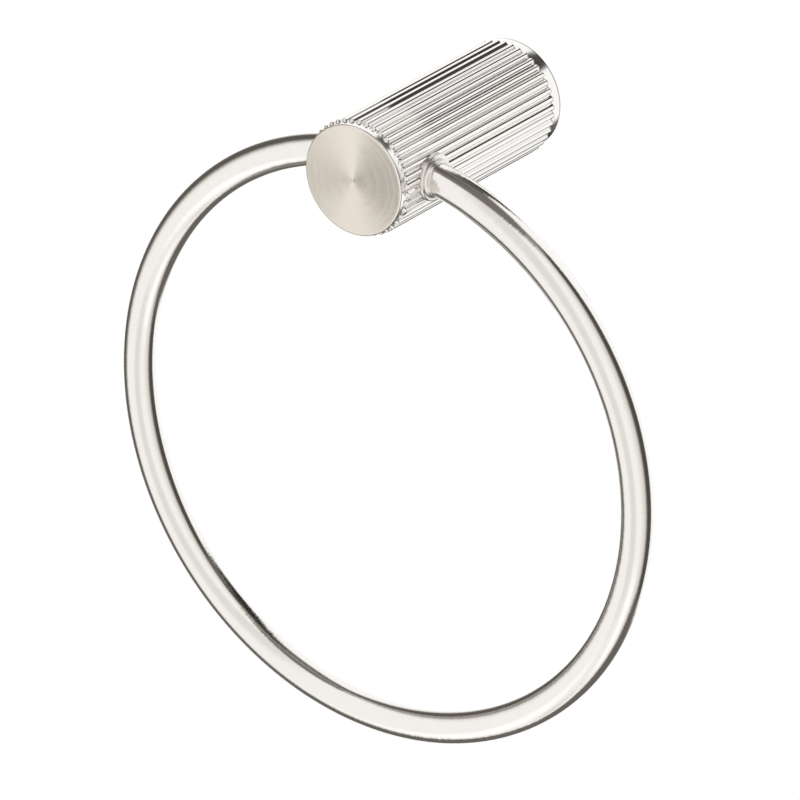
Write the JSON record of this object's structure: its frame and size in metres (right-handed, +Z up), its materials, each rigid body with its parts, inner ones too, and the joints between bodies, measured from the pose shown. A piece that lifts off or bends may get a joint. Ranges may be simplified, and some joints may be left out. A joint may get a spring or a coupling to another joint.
{
  "type": "towel ring",
  "caption": "Wall-mounted towel ring: a full round ring of round bar held by a short fluted round post.",
  "frame": {"origin": "centre of the wall face, on the axis of the post", "axes": "+Y out of the back, into the wall; the post points along -Y; +Z up; the ring hangs in a plane across Y"},
  "size_m": [0.19, 0.08, 0.2012],
  "materials": {
    "brushed_nickel": "satin, finely brushed, warm grey",
    "screw_steel": "plain",
    "bracket_metal": "as turned, matt"
  },
  "bodies": {
    "root": {"post": "brushed_nickel", "ring": "brushed_nickel", "collar_right": "brushed_nickel", "collar_left": "brushed_nickel", "ring_screw_right": "screw_steel", "ring_screw_left": "screw_steel", "wall_bracket": "bracket_metal", "post_screw": "screw_steel"}
  },
  "joints": []
}
